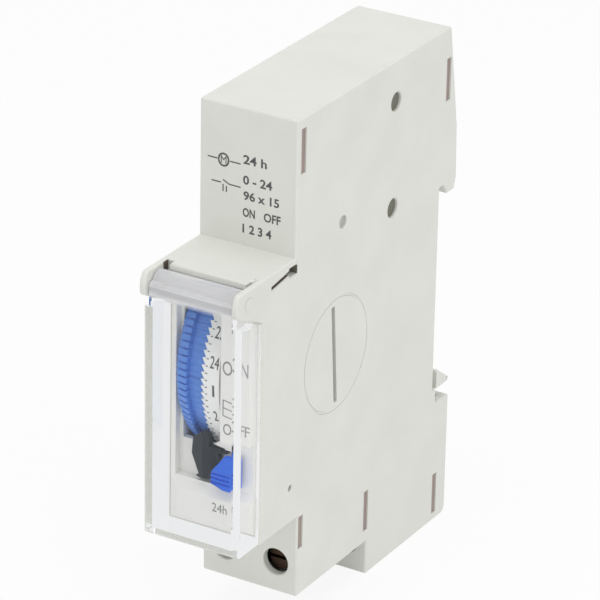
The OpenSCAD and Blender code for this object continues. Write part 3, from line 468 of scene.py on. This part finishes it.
def sharpBoxes(cfg):  # low and high Y, low and high Z of the places that keep sharp edges
    (ringY, ringZ), ring = cfg["ring"], cfg["ringHalf"]
    (gateY, gateZ), gate = cfg["gate"], cfg["gateHalf"]
    return cfg["slots"] + [(ringY - ring, ringY + ring, ringZ - ring, ringZ + ring),
                           (gateY - gate, gateY + gate, gateZ - gate, gateZ + gate)]


def inBox(edge, box, slack):
    lowY, highY, lowZ, highZ = box
    return all(lowY - slack < v.co.y / mm < highY + slack and lowZ - slack < v.co.z / mm < highZ + slack
               for v in edge.verts)


def fromRing(vert, cfg):  # distance in mm from the middle of the ring mark
    y, z = cfg["ring"]
    return math.hypot(vert.co.y / mm - y, vert.co.z / mm - z)


def turnSlit(bm, cfg):  # the slit leans a little forward in the photo, so its disc is filled anew round it
    y, z = cfg["ring"]
    outer = [f for f in bm.faces if all(abs(v.co.x - cadBox[1][0]) < sameSpot * mm for v in f.verts)]
    disc = [f for f in outer if all(fromRing(v, cfg) < cfg["inRing"] for v in f.verts)]
    bmesh.ops.delete(bm, geom=disc, context="FACES")
    slit = [v for v in bm.verts if fromRing(v, cfg) < cfg["slitReach"]]
    lean = Matrix.Rotation(math.radians(cfg["turn"]), 3, "X")
    bmesh.ops.rotate(bm, cent=(0, y * mm, z * mm), matrix=lean, verts=slit)
    bmesh.ops.translate(bm, vec=(0, cfg["shift"] * mm, 0), verts=slit)
    border = [e for e in bm.edges if e.is_boundary and all(fromRing(v, cfg) < cfg["inRing"] for v in e.verts)]
    bmesh.ops.triangle_fill(bm, use_beauty=True, use_dissolve=False, edges=border, normal=(1, 0, 0))
    bmesh.ops.recalc_face_normals(bm, faces=bm.faces)


def moveWalls(bm, cfg):  # clear walls stand a little further out in the photo than in the solid
    for axis, old, new in cfg["moves"].values():
        for v in bm.verts:
            if abs(abs(v.co[axis]) / mm - abs(old)) < sameSpot:
                v.co[axis] = math.copysign(new, v.co[axis]) * mm
    bm.normal_update()


def roundFront(bm, cfg):  # larger radius on both upright front edges
    x, y = cfg["moves"]["side"][2], cfg["moves"]["front"][2]
    corner = {v for v in bm.verts if abs(abs(v.co.x) / mm - x) < sameSpot and abs(v.co.y / mm - y) < sameSpot}
    upright = [e for e in bm.edges if corner.issuperset(e.verts)]
    bmesh.ops.bevel(bm, geom=upright, offset=cfg["radius"] * mm, offset_type="OFFSET", profile=0.5,
                    segments=cfg["segments"], affect="EDGES", clamp_overlap=False, material=-1)
    bm.normal_update()


def frontRounds(bm, cfg):  # faces of the larger radius
    low, high = cfg["slant"]
    behind = (cfg["moves"]["front"][2] + cfg["radius"] * 2) * mm
    return {f for f in bm.faces if abs(f.normal.z) < cfg["level"] and low < abs(f.normal.x) < high
            and f.calc_center_median().y < behind}


def mergedCopy(node):
    bm = bmesh.new()
    bm.from_mesh(nodes[node].data)
    bmesh.ops.remove_doubles(bm, verts=bm.verts, dist=mergeGap)
    return bm


def edgesToRound(bm, cfg, tree):
    corner = math.radians(rounding["edgeAngle"])
    chosen = [e for e in bm.edges if e.is_manifold and e.calc_face_angle_signed() > corner]
    if "seam" in cfg:
        seam, near = cfg["seam"] * mm, sameSpot * mm
        chosen = [e for e in chosen if any(abs(v.co.x - seam) > near for v in e.verts)]
    if "marks" in cfg:
        boxes, slack = sharpBoxes(cfg["marks"]), cfg["marks"]["slack"]
        chosen = [e for e in chosen if not any(inBox(e, box, slack) for box in boxes)]
    if cfg["reach"] > 0:
        chosen = [e for e in chosen if seesAir(tree, e, cfg["reach"] * mm)]
    return chosen


def smoothShade(bm, angle, rounded=()):  # flat faces keep their own normal, so clear walls bend no view
    for face in bm.faces:
        face.smooth = True
    for edge in bm.edges:
        border = len({face in rounded for face in edge.link_faces}) == 2
        edge.smooth = not border and edge.calc_face_angle(0.0) < math.radians(angle)


def softCopy(name, cfg, tree):
    bm = mergedCopy(cfg["node"])
    if "marks" in cfg:
        turnSlit(bm, cfg["marks"])
    bm.normal_update()
    if "walls" in cfg:
        moveWalls(bm, cfg["walls"])
        roundFront(bm, cfg["walls"])
    chosen = edgesToRound(bm, cfg, tree)
    made = bmesh.ops.bevel(bm, geom=chosen, offset=cfg["width"] * mm, offset_type="OFFSET", profile=0.5,
                           segments=rounding["segments"], affect="EDGES", clamp_overlap=False, material=-1)
    rounded = set(made["faces"])
    if "walls" in cfg:
        rounded |= frontRounds(bm, cfg["walls"])
    smoothShade(bm, rounding["smoothAngle"], rounded)
    obj = meshObject(name, bm)
    obj.data.materials.append(mats[slotFinish[cfg["slot"]]])
    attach(obj, cfg["body"])
    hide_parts(cfg["node"])
    print("rounded", name, len(chosen), "edges")


cadTree = wholeTree()
for name, cfg in softPieces.items():
    softCopy(name, cfg, cadTree)

# spring of the rail clip: heights of its ends in mm
clipSpring = {"node": "clip_spring", "slot": "steel", "low": -34.67, "high": -24.03, "smoothAngle": 50}


def pressedSpring(name, cfg):
    bm = mergedCopy(cfg["node"])
    bm.normal_update()
    smoothShade(bm, cfg["smoothAngle"])
    obj = meshObject(name, bm)
    obj.data.materials.append(mats[slotFinish[cfg["slot"]]])
    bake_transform(obj)
    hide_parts(cfg["node"])


pressedSpring("softSpring", clipSpring)


def finishPiece(name, bm, body, finish):
    bmesh.ops.recalc_face_normals(bm, faces=bm.faces)
    obj = meshObject(name, bm)
    obj.data.materials.append(mats[finish])
    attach(obj, body)


def oblong(left, low, right, high):  # corners of a flat outline
    return [(left, low), (right, low), (right, high), (left, high)]


def thicken(bm, height):  # gives flat work its thickness in mm
    up = bmesh.ops.extrude_face_region(bm, geom=bm.faces[:], use_keep_orig=True)
    top = [g for g in up["geom"] if isinstance(g, bmesh.types.BMVert)]
    bmesh.ops.translate(bm, vec=(0, 0, height * mm), verts=top)
    return bm


def flatPlate(points, low, high):  # a plate between two heights over a flat outline in mm
    bm = bmesh.new()
    bm.faces.new([bm.verts.new((x * mm, y * mm, low * mm)) for x, y in points])
    return thicken(bm, high - low)


def spunRound(profile, axis, steps):  # a line of X and radius in mm, turned once round an axis along X
    y, z = axis
    bm = bmesh.new()
    line = [bm.verts.new((x * mm, y * mm, (z + far) * mm)) for x, far in profile]
    edges = [bm.edges.new(pair) for pair in zip(line, line[1:])]
    bmesh.ops.spin(bm, geom=line + edges, cent=(0, y * mm, z * mm), axis=(1, 0, 0), angle=2 * math.pi,
                   steps=steps, use_merge=True)
    bmesh.ops.remove_doubles(bm, verts=bm.verts, dist=mergeGap)
    return bm


def spunRing(left, small, right, large, axis, steps):  # a ring between two X and two radii
    corners = oblong(left, small, right, large)
    return spunRound(corners + corners[:1], axis, steps)


def addTo(whole, bm):  # moves one bmesh into another
    part = bpy.data.meshes.new("part")
    bm.to_mesh(part)
    bm.free()
    whole.from_mesh(part)
    bpy.data.meshes.remove(part)


def wordMesh(words, high, wide, bold=0.0):  # flat words, centred, that high and wide in mm
    curve = bpy.data.curves.new("words", "FONT")
    curve.body = words
    curve.offset = bold
    curve.resolution_u = 3
    holder = bpy.data.objects.new("words", curve)
    flat = bpy.data.meshes.new_from_object(holder)
    bm = bmesh.new()
    bm.from_mesh(flat)
    bpy.data.objects.remove(holder)
    bpy.data.curves.remove(curve)
    bpy.data.meshes.remove(flat)
    spanX, spanY = ([f(v.co[i] for v in bm.verts) for f in (min, max)] for i in (0, 1))
    broad = wide * mm / (spanX[1] - spanX[0])
    tall = high * mm / (spanY[1] - spanY[0])
    bmesh.ops.translate(bm, vec=(-sum(spanX) / 2, -sum(spanY) / 2, 0), verts=bm.verts)
    bmesh.ops.scale(bm, vec=(broad, tall, 1), verts=bm.verts)
    return bm


# number ring of the dial: sizes in mm, angles in degrees up from the front
numberRing = {
    "axis": axisOf("dial_turn"), "radius": 17.9, "depth": 0.6, "rootX": 0.06, "tipX": -0.62,
    "teeth": 96, "firstTooth": 1.7, "tipRise": 0.10, "toothFall": 0.90,
    "hours": 24, "hourZero": 11.85, "numeralHigh": 1.95, "numeralX": 1.66,
    "numeralWide": 1.60, "digitWide": 0.72, "oneWide": 0.36,
    "dash": (0.16, 0.52, 0.13), "ink": 0.045, "sink": 0.02,  # dash: from X, to X and thickness
    "rim": (2.38, 2.62), "rimTop": -0.01, "rimSteps": 192,  # plain edge towards the print strip
}


def roundDial(cfg, verts, angle):  # lays flat work, X across and Y up, on the dial at an angle
    y, z = cfg["axis"]
    for v in verts:
        turn = math.radians(angle) + v.co.y / (cfg["radius"] * mm)
        far = cfg["radius"] * mm + v.co.z
        v.co = (v.co.x, y * mm - far * math.cos(turn), z * mm + far * math.sin(turn))


def repeatRound(bm, cfg, times):  # copies all of it round the dial axis
    y, z = cfg["axis"]
    turn = 2 * math.pi / times
    bmesh.ops.spin(bm, geom=bm.verts[:] + bm.edges[:] + bm.faces[:], cent=(0, y * mm, z * mm),
                   axis=(1, 0, 0), angle=turn * (times - 1), steps=times - 1, use_duplicate=True)


def ringRim(cfg):
    left, right = cfg["rim"]
    small, large = cfg["radius"] - cfg["depth"], cfg["radius"] + cfg["rimTop"]
    bm = spunRing(left, small, right, large, cfg["axis"], cfg["rimSteps"])
    finishPiece("ringRim", bm, "dial", "dialWhite")


def toothRing(cfg):
    pitch = 2 * math.pi * cfg["radius"] / cfg["teeth"]
    root, tip = cfg["rootX"], cfg["tipX"]
    outline = [(root, pitch * cfg["tipRise"]), (tip, 0.0), (root, -pitch * cfg["toothFall"])]
    bm = flatPlate(outline, -cfg["depth"], 0.0)
    roundDial(cfg, bm.verts, cfg["firstTooth"])
    repeatRound(bm, cfg, cfg["teeth"])
    finishPiece("ringTeeth", bm, "dial", "dialWhite")


def ringPrint(cfg):
    left, right, thick = cfg["dash"]
    whole = flatPlate(oblong(left, -thick / 2, right, thick / 2), -cfg["sink"], cfg["ink"])
    roundDial(cfg, whole.verts, cfg["firstTooth"])
    repeatRound(whole, cfg, cfg["teeth"])
    for hour in range(1, cfg["hours"] + 1):
        kind = "numeralWide" if hour > 9 else "digitWide" if hour > 1 else "oneWide"
        bm = thicken(wordMesh(str(hour), cfg["numeralHigh"], cfg[kind]), cfg["ink"])
        bmesh.ops.translate(bm, vec=(cfg["numeralX"] * mm, 0, 0), verts=bm.verts)
        roundDial(cfg, bm.verts, cfg["hourZero"] - hour * 360 / cfg["hours"])
        addTo(whole, bm)
    finishPiece("ringPrint", whole, "dial", "printInk")


ringRim(numberRing)
toothRing(numberRing)
ringPrint(numberRing)
print("number ring made")

# shallow dimples over the ends of the hinge stubs: places on X and radius in mm, two shares of that radius
pivotDimples = {
    "axis": axisOf("cover_hinge"), "radius": 1.08, "outer": 8.74, "inner": 8.67, "steps": 32,
    "middle": 8.69, "slope": 8.70, "slopeShare": 0.45, "lipShare": 0.8,
}


def pivotDimple(name, cfg, side):
    rim = cfg["radius"]
    profile = [(cfg["middle"], 0.0), (cfg["slope"], rim * cfg["slopeShare"]),
               (cfg["outer"], rim * cfg["lipShare"]), (cfg["outer"], rim),
               (cfg["inner"], rim), (cfg["inner"], 0.0)]
    bm = spunRound([(x * side, far) for x, far in profile], cfg["axis"], cfg["steps"])
    finishPiece(name, bm, "housing", "shellGrey")


pivotDimple("rightDimple", pivotDimples, 1)
pivotDimple("leftDimple", pivotDimples, -1)

# low skirts that close the gaps between the tappets of each quarter, in mm and degrees
tappetSkirts = {
    "quarters": 4, "count": 24, "step": 3.75, "low": -2.3,
    "half": 0.2, "thin": 0.07,  # half widths, the thin one beside the next quarter
    "rows": [(-5.1, -0.4, -0.95), (-5.1, -3.4, -0.45)],  # from X, to X and top over the ring
}


def skirts(quarter, cfg):
    whole = bmesh.new()
    for i in range(cfg["count"]):
        half = cfg["half"] if i else cfg["thin"]
        for left, right, top in cfg["rows"]:
            bm = flatPlate(oblong(left, -half, right, half), cfg["low"], top)
            roundDial(numberRing, bm.verts, -(quarter * cfg["count"] + i) * cfg["step"])
            addTo(whole, bm)
    number = quarter + 1
    finishPiece("tappetSkirts%d" % number, whole, "tappets_%d" % number, "tappetBlue")


for quarter in range(tappetSkirts["quarters"]):
    skirts(quarter, tappetSkirts)
print("tappet skirts and hinge dimples made")

# floor of the ring mark, raised so that its groove stays faint: low and high X, radii, in mm
markFloor = {"x": (8.46, 8.69), "radii": (9.53, 9.86), "steps": 128}
# tongue in each snap slot: low and high X, and the gap round it, in mm
snapTongue = {"x": (7.66, 8.48), "gap": 0.03}


def tongueBoxes(cfg, slots):
    (low, high), gap = cfg["x"], cfg["gap"]
    return [((low, lowY + gap, lowZ + gap), (high, highY - gap, highZ - gap))
            for lowY, highY, lowZ, highZ in slots]


# blocks on the housing: low and high corners in mm
sideBlocks = {
    # painted shade: the tongues are brown-grey to stand for the shade inside the snap slots
    "snapTongues": {"finish": "snapBrown", "slot": "housing",
                    "boxes": tongueBoxes(snapTongue, sideMarks["slots"])},
    # painted shade: dark plate on the inner face of the left ear, standing for the shade in the gap
    "cornerShade": {"finish": "cornerDark", "slot": "housing", "boxes": [
        ((-7.74, -57.35, 20.95), (-7.70, -56.02, 22.70))]},
    "wellWall": {"finish": "panelWhite", "slot": "panel", "boxes": [
        ((-5.95, -53.3, -12.5), (-5.57, -46.5, -5.0))]},
}
# painted shade on the inner faces of the notch and slot beside the shoulder: outlines in Y and Z, then low
# and high X, in mm
sideSlants = {
    "notchShade": {"finish": "holeOlive", "outline": oblong(-44.84, 20.14, -44.81, 21.5), "x": (7.42, 8.6)},
    "slotShade": {"finish": "cornerDark", "x": (7.9, 8.52), "outline": [
        (-52.2, 20.03), (-47.3, 20.67), (-47.3, 20.70), (-52.2, 20.06)]},
}
# painted shade discs in the post holes and the gate mark: low and high X, then Y, Z and radius of each disc,
# in mm
sideDiscs = {
    "postShades": {"finish": "holeOlive", "x": (8.13, 8.18), "steps": 48,
                   "discs": [(-15.2, 38.5, 1.58), (-15.4, 20.3, 1.58)]},
    "gateShade": {"finish": "gateGrey", "x": (8.44, 8.47), "steps": 48,
                  "discs": [(*sideMarks["gate"], 1.08)]},
}


def markRing(name, cfg):
    (low, high), (small, large) = cfg["x"], cfg["radii"]
    bm = spunRing(low, small, high, large, sideMarks["ring"], cfg["steps"])
    finishPiece(name, bm, "housing", "shellGrey")


def sideBlock(name, cfg):
    whole = bmesh.new()
    for low, high in cfg["boxes"]:
        addTo(whole, flatPlate(oblong(*low[:2], *high[:2]), low[2], high[2]))
    finishPiece(name, whole, "housing", cfg["finish"])


def sideSlant(name, cfg):
    bm = flatPlate(cfg["outline"], *cfg["x"])
    upright = Matrix(((0, 0, 1), (1, 0, 0), (0, 1, 0)))  # outline to Y and Z, height to X
    bmesh.ops.rotate(bm, cent=(0, 0, 0), matrix=upright, verts=bm.verts)
    finishPiece(name, bm, "housing", cfg["finish"])


def sideDisc(name, cfg):
    whole = bmesh.new()
    low, high = cfg["x"]
    alongX = Matrix.Rotation(math.radians(90), 3, "Y")
    for y, z, radius in cfg["discs"]:
        bm = bmesh.new()
        bmesh.ops.create_cone(bm, cap_ends=True, segments=cfg["steps"], radius1=radius * mm,
                              radius2=radius * mm, depth=(high - low) * mm)
        bmesh.ops.rotate(bm, cent=(0, 0, 0), matrix=alongX, verts=bm.verts)
        bmesh.ops.translate(bm, vec=((low + high) / 2 * mm, y * mm, z * mm), verts=bm.verts)
        addTo(whole, bm)
    finishPiece(name, whole, "housing", cfg["finish"])


markRing("ringFloor", markFloor)
for pieces, make in ((sideBlocks, sideBlock), (sideSlants, sideSlant), (sideDiscs, sideDisc)):
    for name, cfg in pieces.items():
        make(name, cfg)
print("marks of the side cover made")

# print on faces that look to the front, in mm: words (text, height, width, X, Z), bars (X and Z of both ends)
printDepth = {"ink": 0.03, "sink": 0.005}
frontPrints = {
    "stripPrint": {
        "face": -57.1, "line": 0.16, "finish": "paleInk",
        "words": [("O", 2.4, 1.75, 4.2, 7.95), ("N", 2.3, 1.3, 6.05, 7.95),
                  ("O", 1.9, 1.5, 4.3, -2.4), ("F", 1.8, 0.9, 5.65, -2.4), ("F", 1.8, 0.9, 6.65, -2.4)],
        "bars": [(3.5, 2.5, 3.5, -0.25), (3.5, 2.45, 5.1, 2.2), (3.5, 1.15, 5.1, 0.9),
                 (3.5, -0.2, 5.1, -0.45), (5.0, 15.5, 5.0, 14.0)],
    },
    "headPrint": {
        "face": -45.5, "finish": "printInk", "bold": 0.022,
        "words": [("24 h", 1.5, 4.2, 1.2, 37.2), ("0 - 24", 1.5, 5.2, 1.7, 33.8),
                  ("96 x 15", 1.5, 6.4, 2.4, 31.2), ("ON", 1.5, 2.2, 0.2, 28.4),
                  ("OFF", 1.5, 3.0, 4.4, 28.4), ("1 2 3 4", 1.5, 5.2, 1.7, 25.7)],
    },
    "headSymbols": {
        "face": -45.5, "line": 0.2, "finish": "printInk",
        "words": [("M", 1.2, 1.0, -4.45, 36.27), ("O", 2.35, 2.1, -4.45, 36.27)],
        "bars": [(-7.3, 36.3, -5.6, 36.28), (-3.3, 36.26, -1.4, 36.24), (-6.6, 32.45, -4.9, 32.42),
                 (-4.55, 32.95, -3.4, 32.4), (-3.4, 32.4, -1.35, 32.37), (-4.5, 32.2, -4.5, 31.0),
                 (-3.9, 32.0, -3.9, 31.0)],
    },
    "blockPrint": {
        "face": -56.6, "finish": "paleInk",
        "words": [("24h", 1.5, 2.7, 2.75, -16.7)],
    },
}


def printedBar(start, end, thick):  # a straight line of print as a plate
    start, end = Vector(start), Vector(end)
    along = end - start
    side = Vector((-along.y, along.x)).normalized() * thick / 2
    return flatPlate([start - side, end - side, end + side, start + side], 0, printDepth["ink"])


def frontPrint(name, cfg):
    whole = bmesh.new()
    for words, high, wide, x, z in cfg["words"]:
        bm = thicken(wordMesh(words, high, wide, cfg.get("bold", 0.0)), printDepth["ink"])
        bmesh.ops.translate(bm, vec=(x * mm, z * mm, 0), verts=bm.verts)
        addTo(whole, bm)
    for x0, z0, x1, z1 in cfg.get("bars", []):
        addTo(whole, printedBar((x0, z0), (x1, z1), cfg["line"]))
    upright = Matrix.Rotation(math.radians(90), 3, "X")
    bmesh.ops.rotate(whole, cent=(0, 0, 0), matrix=upright, verts=whole.verts)
    bmesh.ops.translate(whole, vec=(0, (cfg["face"] + printDepth["sink"]) * mm, 0), verts=whole.verts)
    finishPiece(name, whole, "housing", cfg["finish"])


for name, cfg in frontPrints.items():
    frontPrint(name, cfg)
print("prints made")
